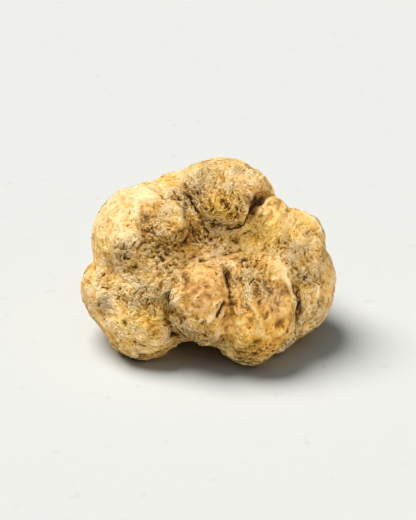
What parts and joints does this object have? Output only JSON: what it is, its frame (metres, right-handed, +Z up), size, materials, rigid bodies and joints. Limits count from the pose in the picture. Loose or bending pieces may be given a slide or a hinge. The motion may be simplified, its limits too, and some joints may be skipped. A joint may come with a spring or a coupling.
{
  "type": "white truffle",
  "caption": "Lobed white truffle in one piece, with a hollow where its lobes meet, lying on small flat spots.",
  "frame": {"origin": "on the resting plane, under the middle of the bounding box", "axes": "+Z up as it lies; +X to the right and +Y to the back when the hollow faces the viewer"},
  "size_m": [0.0698, 0.0564, 0.0486],
  "materials": {
    "skin": "dry, matt, pale ochre skin with small pits and fine wrinkles, browner in its folds"
  },
  "bodies": {
    "root": {"truffle": "skin"}
  },
  "joints": []
}
